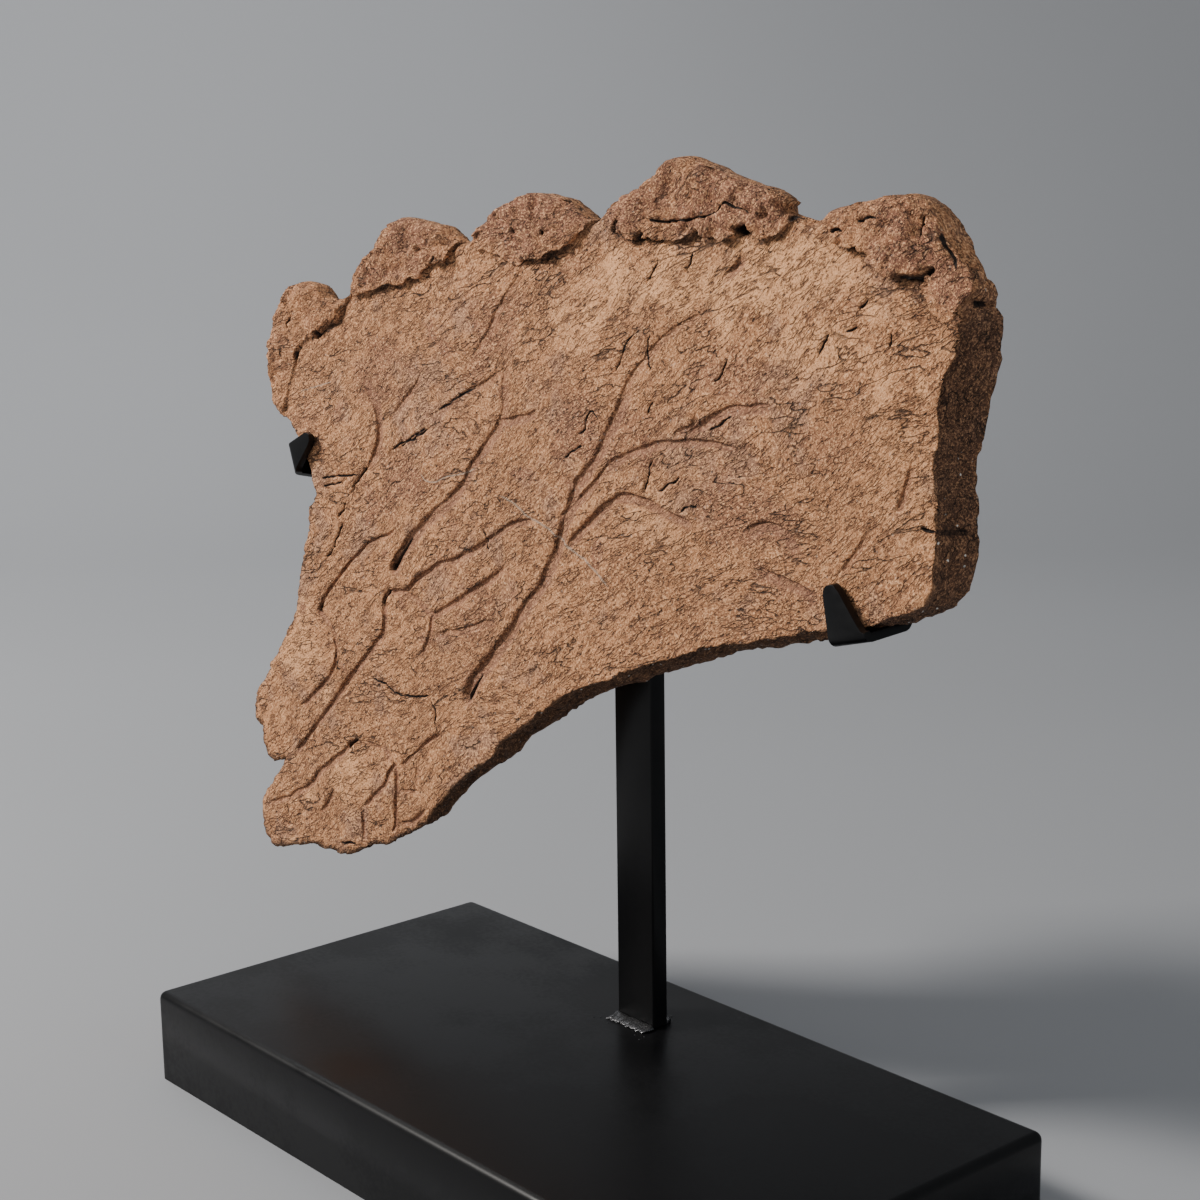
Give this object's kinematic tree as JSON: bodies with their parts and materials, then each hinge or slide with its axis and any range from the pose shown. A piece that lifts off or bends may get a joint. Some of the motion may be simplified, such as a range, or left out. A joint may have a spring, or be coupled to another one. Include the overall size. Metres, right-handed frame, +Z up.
{
  "type": "fossil dinosaur frill bone on a display stand",
  "caption": "Broken plate of a horned dinosaur's neck frill with knobs along its natural margin and vessel grooves on its face, held by hooks on a black steel stand.",
  "frame": {"origin": "middle of the whole object's bounding box, on the surface the base stands on", "axes": "+X along the base towards the bone's broken end, -Y towards the shown face of the bone, +Z up"},
  "size_m": [0.5253, 0.22, 0.5009],
  "materials": {
    "fossil_bone": "matte, warm brown, fibrous and pitted",
    "satin_black_paint": "satin powder coat on steel",
    "weld_metal": "rippled weld bead, dark grey under a thin coat"
  },
  "bodies": {
    "root": {"frill_bone": "fossil_bone", "base": "satin_black_paint", "upright": "satin_black_paint", "cross_bar": "satin_black_paint", "left_hook": "satin_black_paint", "right_hook": "satin_black_paint", "foot_weld_front": "weld_metal", "foot_weld_rear": "weld_metal", "cross_weld": "weld_metal", "left_leg_weld": "weld_metal", "right_leg_weld": "weld_metal"}
  },
  "joints": []
}
